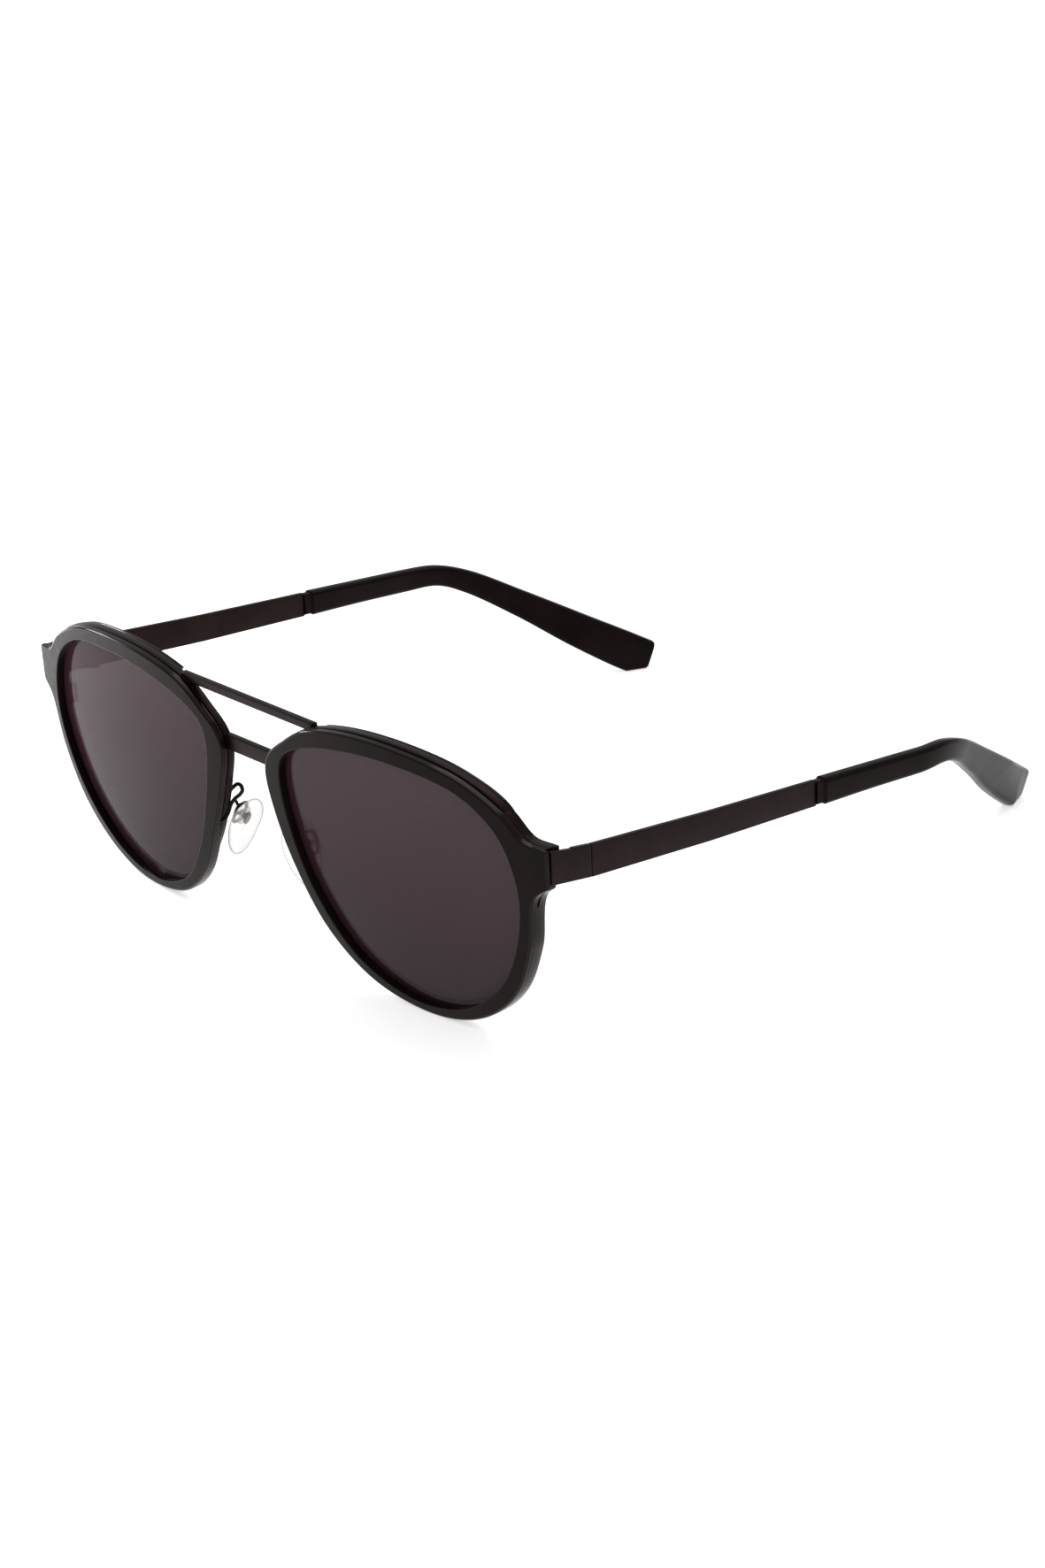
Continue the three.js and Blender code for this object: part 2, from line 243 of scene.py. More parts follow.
@dataclass(frozen=True)
class CoatedSteel:
    """Stainless steel with a thin satin coating, brushed along one direction."""

    name: str
    tint: tuple[float, float, float]
    shade: tuple[float, float, float]
    roughness: float
    metallic: float = 0.7
    specular: float = 0.1
    brush: tuple[float, float, float] = (6.0, 0.25, 6.0)

    def make(self) -> bpy.types.Material:
        """Build the node material."""
        sheet = NodeSheet(self.name)
        streak = sheet.noise(0.5, detail=3.0, stretch=self.brush)
        cloud = sheet.noise(4.0, detail=3.0)
        sheet.feed("Base Color", sheet.blend(sheet.spread(cloud, 0, 1), self.shade, self.tint))
        sheet.feed("Roughness", sheet.spread(streak, self.roughness - 0.06, self.roughness + 0.07))
        sheet.put("Metallic", self.metallic)
        sheet.put("Specular IOR Level", self.specular)
        sheet.bump(streak, 0.003, 0.35)
        return sheet.material


@dataclass(frozen=True)
class TintedLens:
    """Smoke lens, darker with painted shade and a little less see-through at the bottom, with a
    polished face.
    """

    name: str
    bottom_z_mm: float
    top_z_mm: float
    # The dark bottom tint is painted shade; the light tint is the lens at the top.
    dark: tuple[float, float, float] = (0.0250, 0.0110, 0.0150)
    light: tuple[float, float, float] = (0.0450, 0.0180, 0.0250)
    solid_top: float = 0.835
    solid_bottom: float = 0.87

    def make(self) -> bpy.types.Material:
        """Build the node material."""
        sheet = NodeSheet(self.name)
        split = sheet.add("ShaderNodeSeparateXYZ")
        sheet.link(sheet.place, split.inputs["Vector"])
        height = sheet.spread(split.outputs["Z"], 0, 1, self.bottom_z_mm * MM, self.top_z_mm * MM)
        # Painted shade: the tint darkens towards the bottom by height.
        sheet.feed("Base Color", sheet.blend(height, self.dark, self.light))
        sheet.feed("Alpha", sheet.spread(height, self.solid_bottom, self.solid_top, 0, 1))
        film = sheet.noise(9.0, detail=2.0)
        sheet.feed("Roughness", sheet.spread(film, 0.04, 0.07))
        sheet.put("Specular IOR Level", 0.03)
        sheet.put("IOR", 1.5)
        sheet.bump(sheet.noise(12.0, detail=1.0), 0.01, 0.08)
        return sheet.material


@dataclass(frozen=True)
class ClearSilicone:
    """Clear soft silicone, made without refraction.

    Its see-through, its tone and a slight painted glow all follow the viewing angle: pale with a
    painted glow seen straight on, darkened by painted shade and solid towards its edges.
    """

    name: str
    body: tuple[float, float, float] = (0.88, 0.80, 0.79)
    # Painted shade for the edges and a painted glow for the middle, though the pad is no lamp.
    painted_edge_shade: tuple[float, float, float] = (0.20, 0.18, 0.175)
    painted_glow: tuple[float, float, float] = (1.0, 0.93, 0.92)
    painted_glow_strength: float = 0.08
    clear: float = 0.15
    edge: float = 0.9

    def make(self) -> bpy.types.Material:
        """Build the node material."""
        sheet = NodeSheet(self.name)
        cloud = sheet.noise(2.5, detail=2.0)
        facing = sheet.add("ShaderNodeLayerWeight")
        facing.inputs["Blend"].default_value = 0.35
        turned = sheet.spread(facing.outputs["Facing"], 0, 1, 0.25, 0.62)
        # Painted shade: the colour turns dark towards the edges by viewing angle.
        sheet.feed("Base Color", sheet.blend(turned, self.body, self.painted_edge_shade))
        # Painted glow: a faint emission seen straight on, though the pad is no lamp.
        sheet.feed("Emission Color", sheet.blend(turned, self.painted_glow, (0.0, 0.0, 0.0)))
        sheet.put("Emission Strength", self.painted_glow_strength)
        sheet.feed("Roughness", sheet.spread(cloud, 0.10, 0.20))
        sheet.feed("Alpha", sheet.spread(facing.outputs["Facing"], self.clear, self.edge, 0.25, 0.72))
        sheet.put("Specular IOR Level", 0.5)
        sheet.put("IOR", 1.41)
        sheet.bump(sheet.noise(0.9, detail=2.0), 0.01, 0.2)
        return sheet.material


@dataclass
class Finishes:
    """Every material of the glasses, made once."""

    satin_acetate: bpy.types.Material = field(init=False)
    polished_acetate: bpy.types.Material = field(init=False)
    tip_acetate: bpy.types.Material = field(init=False)
    steel: bpy.types.Material = field(init=False)
    hinge: bpy.types.Material = field(init=False)
    insert: bpy.types.Material = field(init=False)
    lens: bpy.types.Material = field(init=False)
    silicone: bpy.types.Material = field(init=False)

    def __post_init__(self) -> None:
        """Make the materials."""
        low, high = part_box("lens_left")
        self.satin_acetate = Acetate("satin_black_acetate", 0.36, 0.04).make()
        self.polished_acetate = Acetate("polished_black_acetate", 0.12, 0.03, specular=0.15).make()
        self.tip_acetate = Acetate("tip_black_acetate", 0.2, 0.04, specular=0.05).make()
        self.steel = CoatedSteel("gunmetal_brown_steel", (0.017, 0.0085, 0.0085),
                                 (0.011, 0.0060, 0.0060), 0.38).make()
        self.hinge = CoatedSteel("black_hinge_steel", (0.013, 0.010, 0.010),
                                 (0.008, 0.006, 0.006), 0.34, brush=(3, 3, 3)).make()
        self.insert = CoatedSteel("bronze_insert_steel", (0.06, 0.040, 0.035),
                                  (0.035, 0.024, 0.021), 0.30, brush=(2, 2, 2)).make()
        self.lens = TintedLens("smoke_lens", low.z / MM, high.z / MM).make()
        self.silicone = ClearSilicone("clear_silicone").make()


# ---------------------------------------------------------------------------------------------
# Surfaces
# ---------------------------------------------------------------------------------------------


def smooth_curve(guides: Sequence[Sequence[float]], closed: bool, per_span: int = 24) -> Array:
    """A smooth curve through guide points.

    Each span is a cubic whose end slopes follow from its neighbours, with the parameter step
    set to the square root of the distance between guides.

    Args:
        guides: points in two or three dimensions.
        closed: whether the curve returns to its first guide.
        per_span: samples in each span.

    Returns:
        The samples, one row each.
    """
    p = np.asarray(guides, float)
    if closed:
        before, start, end, after = np.roll(p, 1, 0), p, np.roll(p, -1, 0), np.roll(p, -2, 0)
    else:
        padded = np.vstack([2 * p[0] - p[1], p, 2 * p[-1] - p[-2]])
        before, start, end, after = padded[:-3], padded[1:-2], padded[2:-1], padded[3:]
    step = [np.sqrt(np.linalg.norm(b - a, axis=1))[:, None]
            for a, b in ((before, start), (start, end), (end, after))]
    out = (start - before) / step[0] - (end - before) / (step[0] + step[1]) + (end - start) / step[1]
    into = (end - start) / step[1] - (after - start) / (step[1] + step[2]) + (after - end) / step[2]
    out, into = out * step[1], into * step[1]
    u = np.linspace(0, 1, per_span, endpoint=False)[None, :, None]
    a, b, m, n = (v[:, None, :] for v in (start, end, out, into))
    curve = ((2 * u**3 - 3 * u**2 + 1) * a + (u**3 - 2 * u**2 + u) * m
             + (-2 * u**3 + 3 * u**2) * b + (u**3 - u**2) * n).reshape(-1, p.shape[1])
    return curve if closed else np.vstack([curve, p[-1]])


def even_points(curve: Array, count: int) -> Array:
    """Points spaced evenly by length along an open curve.

    Args:
        curve: samples of the curve.
        count: number of points to return.

    Returns:
        The points, ends included.
    """
    length = np.concatenate([[0], np.cumsum(np.linalg.norm(np.diff(curve, axis=0), axis=1))])
    at = np.linspace(0, length[-1], count)
    return np.stack([np.interp(at, length, axis) for axis in curve.T], 1)


def unit(vectors: Array) -> Array:
    """Vectors scaled to length one."""
    return vectors / (np.linalg.norm(vectors, axis=-1, keepdims=True) + 1e-12)


def rounded_box_section(half_wide: Array, half_high: Array, corner: Array,
                        steps: int = 5) -> tuple[Array, Array]:
    """A rectangle with round corners at each station, as offsets across and up.

    Each corner is a quarter circle about a point one corner radius in from both sides.

    Args:
        half_wide: half of the width at each station.
        half_high: half of the height at each station.
        corner: corner radius at each station.
        steps: points on each quarter circle.

    Returns:
        Two grids, stations by points: the offset across and the offset up.
    """
    turn = np.concatenate([np.linspace(0, math.pi / 2, steps) + k * math.pi / 2 for k in range(4)])
    across_sign = np.repeat([1, -1, -1, 1], steps)
    up_sign = np.repeat([1, 1, -1, -1], steps)
    wide, high, radius = (np.atleast_1d(v)[:, None] for v in (half_wide, half_high, corner))
    radius = np.minimum(radius, np.minimum(wide, high) * 0.98)
    across = across_sign * (wide - radius) + radius * np.cos(turn)
    up = up_sign * (high - radius) + radius * np.sin(turn)
    return across, up


def carry(centres: Array, across_axis: Array, up_axis: Array, across: Array, up: Array) -> Array:
    """A section carried along a path: centre + across offset * side + up offset * up axis.

    Args:
        centres: path points.
        across_axis: side direction at each point.
        up_axis: up direction at each point.
        across: section offsets along the side direction, stations by points.
        up: section offsets along the up direction.

    Returns:
        A grid of points, stations by section points.
    """
    return (centres[:, None, :] + across[..., None] * across_axis[:, None, :]
            + up[..., None] * up_axis[:, None, :])


def round_bar_grid(path: Array, radius: Array, reference: Sequence[float],
                   sides: int = 20) -> Array:
    """A round bar: a circle carried along a path, square to it.

    Args:
        path: path points.
        radius: bar radius at each point.
        reference: a direction that the path never runs along.
        sides: points around the circle.

    Returns:
        A grid of points, stations by circle points.
    """
    along = unit(np.gradient(path, axis=0))
    side = unit(np.cross(along, np.asarray(reference, float)))
    up = np.cross(side, along)
    turn = np.linspace(0, 2 * math.pi, sides, endpoint=False)
    r = np.broadcast_to(radius, (len(path),))[:, None]
    return carry(path, side, up, r * np.cos(turn), r * np.sin(turn))


def soft_ends(count: int, length: float, bevel: float) -> tuple[Array, Array]:
    """Stations along a bar whose first and last edges are rounded.

    Args:
        count: stations between the rounded ends.
        length: the bar's length.
        bevel: the radius of the edge rounding.

    Returns:
        Positions along the bar, and how far the section is drawn in at each.
    """
    turn = np.linspace(0, math.pi / 2, 4)
    lead = bevel * (1 - np.sin(turn))
    inset = bevel * (1 - np.cos(turn))
    start, start_inset = lead[::-1], inset[::-1]
    middle = np.linspace(bevel, length - bevel, count)[1:-1]
    places = np.concatenate([start, middle, length - start[::-1]])
    insets = np.concatenate([start_inset, np.zeros(len(middle)), start_inset[::-1]])
    return places, insets


@dataclass
class Shell:
    """Vertices and faces of one closed surface, in millimetres."""

    points: Array
    faces: list[tuple[int, ...]]
    tones: Array

    @classmethod
    def loop_grid(cls, grid: Array, tones: Optional[Array] = None) -> "Shell":
        """A surface closed both ways, such as a ring.

        Args:
            grid: rows by columns of points, closed along both.
            tones: material index of each column, or None.

        Returns:
            The closed surface.
        """
        rows, columns = grid.shape[:2]
        i, j = np.meshgrid(np.arange(rows), np.arange(columns), indexing="ij")
        i2, j2 = (i + 1) % rows, (j + 1) % columns
        quads = np.stack([i * columns + j, i2 * columns + j, i2 * columns + j2,
                          i * columns + j2], -1).reshape(-1, 4)
        tone = np.zeros(columns, int) if tones is None else np.asarray(tones)
        return cls(grid.reshape(-1, 3), [tuple(q) for q in quads.tolist()],
                   np.tile(tone, rows))

    @classmethod
    def capped_grid(cls, grid: Array) -> "Shell":
        """A tube closed by a flat face at each end.

        Args:
            grid: stations by section points, closed around the section.

        Returns:
            The closed surface.
        """
        rows, columns = grid.shape[:2]
        i, j = np.meshgrid(np.arange(rows - 1), np.arange(columns), indexing="ij")
        j2 = (j + 1) % columns
        quads = np.stack([i * columns + j, (i + 1) * columns + j, (i + 1) * columns + j2,
                          i * columns + j2], -1).reshape(-1, 4)
        faces = [tuple(q) for q in quads.tolist()]
        faces.append(tuple(range(columns))[::-1])
        faces.append(tuple(range((rows - 1) * columns, rows * columns)))
        return cls(grid.reshape(-1, 3), faces, np.zeros(len(faces), int))

    @classmethod
    def domed_grid(cls, first: Array, grid: Array, last: Array) -> "Shell":
        """A closed form made of rings between two poles, such as a lens or a pad.

        Args:
            first: the first pole.
            grid: rings of points from the first pole to the last.
            last: the last pole.

        Returns:
            The closed surface.
        """
        tube = cls.capped_grid(grid)
        rows, columns = grid.shape[:2]
        faces = tube.faces[:-2]
        total = rows * columns
        ring = np.arange(columns)
        nxt = (ring + 1) % columns
        faces += [tuple(f) for f in np.stack([nxt, ring, np.full(columns, total)], 1).tolist()]
        base = (rows - 1) * columns
        faces += [tuple(f) for f in
                  np.stack([base + ring, base + nxt, np.full(columns, total + 1)], 1).tolist()]
        points = np.vstack([grid.reshape(-1, 3), first, last])
        return cls(points, faces, np.zeros(len(faces), int))

    def moved(self, matrix: Array) -> "Shell":
        """The same surface turned by a 3 by 4 matrix."""
        points = self.points @ matrix[:, :3].T + matrix[:, 3]
        return Shell(points, self.faces, self.tones)


def build_piece(name: str, shells: Sequence[Shell], side: Optional[Side], body: str,
                materials: Sequence[bpy.types.Material], nodes: Sequence[str],
                sharp_degrees: float = 38.0) -> bpy.types.Object:
    """Write closed surfaces into one object, hide the CAD nodes that it stands for and hang it on its
    moving body.

    Args:
        name: the object's name.
        shells: the closed surfaces, in millimetres for the wearer's left.
        side: the side to build, which mirrors x on the right, or None for a middle piece.
        body: the moving body that it rides on.
        materials: materials by index.
        nodes: CAD nodes that it stands for.
        sharp_degrees: edges turned more than this stay crisp.

    Returns:
        The new object.
    """
    offsets = np.cumsum([0] + [len(s.points) for s in shells])
    points = np.vstack([s.points for s in shells]) * MM
    if side is Side.RIGHT:
        points = points * np.array([-1.0, 1.0, 1.0])
    faces = [tuple(i + int(start) for i in face)
             for start, shell in zip(offsets, shells) for face in shell.faces]
    mesh = bpy.data.meshes.new(name)
    mesh.from_pydata(points.tolist(), [], faces)
    mesh.polygons.foreach_set("material_index", np.concatenate([s.tones for s in shells]).astype(int))
    mesh.polygons.foreach_set("use_smooth", np.ones(len(faces), bool))
    work = bmesh.new()
    work.from_mesh(mesh)
    bmesh.ops.remove_doubles(work, verts=work.verts, dist=1e-7)
    bmesh.ops.recalc_face_normals(work, faces=work.faces)
    work.to_mesh(mesh)
    work.free()
    mesh.set_sharp_from_angle(angle=math.radians(sharp_degrees))
    for material in materials:
        mesh.materials.append(material)
    piece = bpy.data.objects.new(name, mesh)
    bpy.context.scene.collection.objects.link(piece)
    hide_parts(*nodes)
    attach(piece, body)
    log.info("%s: %d points, %d faces on %s", name, len(mesh.vertices), len(mesh.polygons), body)
    return piece


# ---------------------------------------------------------------------------------------------
# Front
# ---------------------------------------------------------------------------------------------


@dataclass
class FrontForm:
    """The curved front and the outlines that all rim layers share, in millimetres."""

    forward_x: float = 17.1
    forward_z: float = 42.1
    wrap_radius: float = 196.0
    drop_radius: float = 158.0
    centre: tuple[float, float] = (37.5, 26.0)
    stations: int = 1080
    hinge_depth: float = 17.3
    side_cut_x: float = 70.2
    wall_cut_x: float = 69.6
    lip_cut_x: float = 71.1
    lip_depth: float = 0.57
    flattest_turn: float = 0.1
    rim_guides: tuple = (
        (17.1, 48.3), (11.7, 45.0), (7.4, 41.5), (6.1, 38.2), (7.5, 31.2), (11.4, 21.2),
        (17.6, 10.2), (26.4, 3.0), (37, 0.17), (46, 0.52), (54.4, 3.9), (61.6, 10.6), (66, 20.4),
        (68.1, 30.4), (71.9, 34.0), (71.9, 39.2), (66.4, 40.5), (62, 44.5), (53.4, 48.7),
        (41, 50.7), (27, 50.5),
    )
    aperture_guides: tuple = (
        (16, 44.7), (11.6, 41.9), (10.4, 38), (12.1, 28.3), (16.7, 16.8), (25, 6.5), (37.5, 1.9),
        (49.5, 4.1), (59.2, 12.2), (64.2, 23.4), (64.7, 32.3), (61.4, 40.6), (54, 45.9),
        (40, 48.0), (26, 47.2),
    )
    wire_guides: tuple = (
        (17, 48.4), (11.7, 45.1), (7.4, 41.5), (6.1, 38.2), (7.5, 31.2), (11.5, 21.2),
        (16.4, 13.8), (24.1, 5.2), (37.4, 0.6), (50.2, 2.6), (60.4, 11.2), (65.8, 23),
        (66.4, 32.6), (64.3, 39.5), (61.6, 44.9), (53.3, 49), (41, 51), (27, 50.7),
    )

    def __post_init__(self) -> None:
        """Work out the shared outlines and the depth of the front in the frame."""
        fold = next(j for j in frame["joints"] if j["name"] == "left_temple_fold")
        self.depth_zero = fold["pos_m"][1] / MM - self.hinge_depth
        self.turn = np.linspace(0, 2 * math.pi, self.stations, endpoint=False)
        outward = np.maximum(np.cos(self.turn), self.flattest_turn)
        self.rim = np.minimum(self.radii(self.rim_guides),
                              (self.lip_cut_x - self.centre[0]) / outward)
        self.aperture = self.radii(self.aperture_guides)
        self.wire = self.radii(self.wire_guides)

    def surface(self, x: Array, z: Array) -> Array:
        """Depth of the curved front: two shallow parabolas, across and down."""
        return ((x - self.forward_x) ** 2 / (2 * self.wrap_radius)
                + (z - self.forward_z) ** 2 / (2 * self.drop_radius))

    def radii(self, guides: Sequence[Sequence[float]]) -> Array:
        """Distance of a closed outline from the centre, at every station's direction.

        Args:
            guides: the outline's guide points.

        Returns:
            One distance for each station.
        """
        curve = smooth_curve(guides, closed=True) - np.array(self.centre)
        direction = np.mod(np.arctan2(curve[:, 1], curve[:, 0]), 2 * math.pi)
        order = np.argsort(direction)
        distance = np.linalg.norm(curve, axis=1)[order]
        return np.interp(self.turn, direction[order], distance, period=2 * math.pi)

    def place(self, radius: Array, depth: Array) -> Array:
        """Points at a distance from the centre and a depth behind the curved front.

        Args:
            radius: distances, stations by section points.
            depth: depths of the same shape.

        Returns:
            Points of the same shape, with x, y and z.
        """
        x = self.centre[0] + radius * np.cos(self.turn)[:, None]
        z = self.centre[1] + radius * np.sin(self.turn)[:, None]
        lip = depth < self.lip_depth
        x = np.minimum(x, np.where(lip, self.lip_cut_x, self.side_cut_x))
        y = self.depth_zero + self.surface(x, z) + depth
        return np.stack([x, y, z], -1)

    def band(self, low: float, high: float, section: Sequence[tuple[Array, Array]]) -> Array:
        """Part of a ring between two directions, with its ends squared off.

        Args:
            low: first direction in degrees.
            high: last direction in degrees.
            section: for each section point, its distance and depth at every station.

        Returns:
            The grid of points of the kept stations.
        """
        degrees = np.degrees(self.turn)
        return self.ring(section)[(degrees >= low) & (degrees <= high)]

    def ring(self, section: Sequence[tuple[Array, Array]]) -> Array:
        """A section carried round the front.

        Args:
            section: for each section point, its distance and its depth at every station.

        Returns:
            The grid of points, stations by section points.
        """
        shape = (self.stations,)
        radius = np.stack([np.broadcast_to(r, shape) for r, _ in section], 1)
        depth = np.stack([np.broadcast_to(d, shape) for _, d in section], 1)
        return self.place(radius, depth)

    def share(self, start: float, end: float, soft: float = 2.0) -> Array:
        """1 between two directions and 0 elsewhere, with soft edges.

        Args:
            start: first direction in degrees, anticlockwise from the outer side.
            end: last direction in degrees.
            soft: width of the soft edge in degrees.

        Returns:
            The share at every station.
        """
        degrees = np.degrees(self.turn)
        middle, half = (start + end) / 2, (end - start) / 2
        away = np.abs(np.mod(degrees - middle + 180, 360) - 180)
        return np.clip((half - away) / soft + 0.5, 0, 1)


@dataclass
class Front:
    """Rims, lenses, eyewires, trims and the two cross bars."""

    form: FrontForm
    finishes: Finishes
    acetate_back: float = 1.35
    wall_top_depth: float = 3.3
    wall_low_depth: float = 2.2
    wire_front: float = 1.5
    wire_back: float = 3.0
    lens_front: float = 1.65
    lens_back: float = 3.45
    trim_front: float = 3.15
    trim_back: float = 3.95
    trim_width: float = 2.1
    slot_depth: float = 0.9
    slot_span: tuple[float, float, float] = (5.2, 10.0, 0.6)
    wall_span: tuple[float, float, float] = (-164.0, 12.0, 1.5)
    wall_growth: tuple[float, float] = (-62.0, 50.0)
    wall_shoulder_z: float = 35.0
    rim_bevel: float = 0.42
    lip_bevel: float = 0.18
    trim_span: tuple[float, float, float] = (20.4, 126.5, 2.2)
    trim_bevel: float = 0.2
    bar_reach: tuple[float, float] = (18.4, 6.6)

    def rim(self, side: Side) -> None:
        """Acetate rim with a satin face, polished bevels and a wall that wraps the steel."""
        form = self.form
        degrees = np.mod(np.degrees(form.turn) + 180, 360) - 180
        grow_from, grow_over = self.wall_growth
        wall = self.wall_low_depth + (self.wall_top_depth - self.wall_low_depth) * np.clip(
            (degrees - grow_from) / grow_over, 0, 1)
        deep = form.share(*self.wall_span)
        shallow = self.acetate_back + 0.06
        back = shallow + deep * (wall - shallow)
        slot = form.share(*self.slot_span) * self.slot_depth
        bevel, lip, lead = self.rim_bevel, self.lip_bevel, 0.12
        seat = np.maximum(np.minimum(form.wire + 0.2, form.rim - 0.35), form.aperture + 0.4)
        edge = [(form.rim - bevel * (1 - math.sin(a)), bevel * (1 - math.cos(a)))
                for a in np.linspace(0, math.pi / 2, 6)]
        slot_floor = (form.rim - slot, np.minimum(1.67, 0.84 * back))
        before_slot = [(form.rim, 0.5), (form.rim - 0.02, 0.565), (form.rim, 0.6),
                       (form.rim, np.minimum(1.2, 0.7 * back)),
                       (form.rim - slot, np.minimum(1.23, 0.72 * back))]
        side_wall = [*before_slot, slot_floor, (form.rim, np.minimum(1.7, 0.86 * back))]
        rear = [(form.rim - 0.2 * (1 - math.cos(a)), back - 0.2 * (1 - math.sin(a)))
                for a in np.linspace(0, math.pi / 2, 3)]
        inner = [(form.aperture, lip), (form.aperture + lip * 0.3, lip * 0.3),
                 (form.aperture + lip, 0.0), (form.aperture + lip + lead, 0.0),
                 (form.aperture * 0.5 + form.rim * 0.5, 0.0), (form.rim - bevel - lead, 0.0)]
        behind = [(seat, back), (seat, self.acetate_back), (form.aperture, self.acetate_back)]
        section = [*inner, *edge, *side_wall, *rear, *behind]
        satin_columns = range(2, 6)
        tones = [0 if i in satin_columns else 1 for i in range(len(section))]
        grid = form.ring(section)
        past_slot = len(inner) + len(edge) + len(before_slot)
        deeper = np.arange(len(section)) >= past_slot
        low_part = grid[..., 2] < self.wall_shoulder_z
        grid[..., 0] = np.where(deeper & low_part, np.minimum(grid[..., 0], form.wall_cut_x),
                                grid[..., 0])
        shell = Shell.loop_grid(grid, tones)
        build_piece(f"acetate_rim_{side.value}", [shell], side, "front",
                    [self.finishes.satin_acetate, self.finishes.polished_acetate],
                    [side.node("front_rim")], sharp_degrees=50)

    def lens(self, side: Side) -> None:
        """Curved lens: rings from a pole on its front face, round its edge, to one behind."""
        form = self.form
        share = np.linspace(0.05, 1, 26)
        edge = form.aperture + 0.1
        inner = [(edge * s, self.lens_front) for s in share]
        bevel = [(edge + 0.5, 2.4), (edge + 0.5, 2.7)]
        outer = [(edge * s, self.lens_back) for s in share[::-1]]
        rings = np.swapaxes(form.ring(inner + bevel + outer), 0, 1)
        poles = [np.array([form.centre[0], form.depth_zero + depth
                           + float(form.surface(np.array(form.centre[0]), np.array(form.centre[1]))),
                           form.centre[1]])
                 for depth in (self.lens_front, self.lens_back)]
        shell = Shell.domed_grid(poles[0], rings, poles[1])
        build_piece(f"smoke_lens_{side.value}", [shell], side, "front",
                    [self.finishes.lens], [side.node("lens")])

    def eyewire(self, side: Side) -> None:
        """Steel ring behind the acetate, with rounded edges and a groove for the lens."""
        form = self.form
        front, back = self.wire_front, self.wire_back
        inner = form.aperture + 0.15
        outer = form.wire
        bevel = 0.14
        section = [(inner, front + 0.05), (inner + 0.05, front), (outer - bevel, front),
                   (outer - bevel * 0.3, front + bevel * 0.3), (outer, front + bevel),
                   (outer, back - bevel), (outer - bevel * 0.3, back - bevel * 0.3),
                   (outer - bevel, back), (inner + 0.05, back), (inner, back - 0.05),
                   (inner, 2.8), (inner + 0.6, 2.8), (inner + 0.6, 2.25), (inner, 2.25)]
        shell = Shell.loop_grid(form.ring(section))
        build_piece(f"steel_eyewire_{side.value}", [shell, *self.closing_blocks()], side, "front",
                    [self.finishes.steel], [side.node("eyewire")])

    def closing_blocks(self) -> list[Shell]:
        """The two small blocks behind the eyewire's split, above and below its gap."""
        x, z, half = 65.6, 30.6, 0.75
        y = self.form.depth_zero + float(self.form.surface(np.array(x), np.array(z)))
        middle = y + self.wire_back + 0.7
        return [block_shell((x, middle, z + sign * 1.05), (half, half, 0.85), 0.15)
                for sign in (-1, 1)]

    def trim(self, side: Side) -> None:
        """Dark strip behind the steel along the top, rounded at its nose end only."""
        form = self.form
        low, high, soft = self.trim_span
        degrees = np.degrees(form.turn)
        from_end = np.clip((high - degrees) / soft, 0, 1)
        full = np.sqrt(np.clip(1 - (1 - from_end) ** 2, 0.03, 1))
        outer = np.maximum(form.wire - 0.12, np.where(degrees < 38, form.rim - 0.3, 0))
        inner = outer - self.trim_width * full
        front, back, bevel = self.trim_front, self.trim_back, self.trim_bevel
        section = [(inner, front + bevel), (inner + bevel, front), (outer - bevel, front),
                   (outer, front + bevel), (outer, back - bevel), (outer - bevel, back),
                   (inner + bevel, back), (inner, back - bevel)]
        shell = Shell.capped_grid(form.band(low, high, section))
        build_piece(f"brow_strip_{side.value}", [shell], side, "front",
                    [self.finishes.polished_acetate], [side.node("brow_trim")], 30)

    def bars(self) -> None:
        """Straight brow bar and lower bridge, flat bars with softened edges."""
        for name, node, reach in (("brow_bar_steel", "brow_bar", self.bar_reach[0]),
                                  ("lower_bridge_steel", "lower_bridge", self.bar_reach[1])):
            low, high = (np.array(corner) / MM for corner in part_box(node))
            middle, half = (low + high) / 2, (high - low) / 2
            places, inset = soft_ends(40, 2 * reach, 0.1)
            centres = np.stack([places - reach, np.full_like(places, middle[1]),
                                np.full_like(places, middle[2])], 1)
            across, up = rounded_box_section(half[1] - inset, half[2] - inset,
                                             np.full_like(places, 0.28))
            count = len(places)
            grid = carry(centres, np.tile([0.0, 1.0, 0.0], (count, 1)),
                         np.tile([0.0, 0.0, 1.0], (count, 1)), across, up)
            build_piece(name, [Shell.capped_grid(grid)], None, "front",
                        [self.finishes.steel], [node])

    def build(self) -> None:
        """Build every piece of the front."""
        for side in Side:
            self.rim(side)
            self.lens(side)
            self.eyewire(side)
            self.trim(side)
        self.bars()


def block_shell(centre: Sequence[float], half: Sequence[float], corner: float,
                bevel: Optional[float] = None) -> Shell:
    """A small block with rounded edges: a rounded rectangle carried up z with soft ends.

    Args:
        centre: middle of the block.
        half: half sizes along x, y and z.
        corner: radius of the upright edges.
        bevel: radius of the end edges, or None for the same.

    Returns:
        The closed surface.
    """
    places, inset = soft_ends(4, 2 * half[2], corner if bevel is None else bevel)
    count = len(places)
    centres = np.stack([np.full(count, centre[0]), np.full(count, centre[1]),
                        centre[2] - half[2] + places], 1)
    across, up = rounded_box_section(half[0] - inset, half[1] - inset, np.full(count, corner))
    return Shell.capped_grid(carry(centres, np.tile([1.0, 0.0, 0.0], (count, 1)),
                                   np.tile([0.0, 1.0, 0.0], (count, 1)), across, up))


def turned_shell(centre: Sequence[float], profile: Sequence[tuple[float, float]],
                 sides: int = 48) -> Shell:
    """A closed profile turned about an upright axis.

    Args:
        centre: a point on the axis.
        profile: closed list of radius and height.
        sides: stations round the axis.

    Returns:
        The closed ring.
    """
    turn = np.linspace(0, 2 * math.pi, sides, endpoint=False)[:, None]
    radius = np.array([r for r, _ in profile])[None, :]
    height = np.array([h for _, h in profile])[None, :]
    grid = np.stack([centre[0] + radius * np.cos(turn), centre[1] + radius * np.sin(turn),
                     centre[2] + height + 0 * turn], -1)
    return Shell.loop_grid(grid)


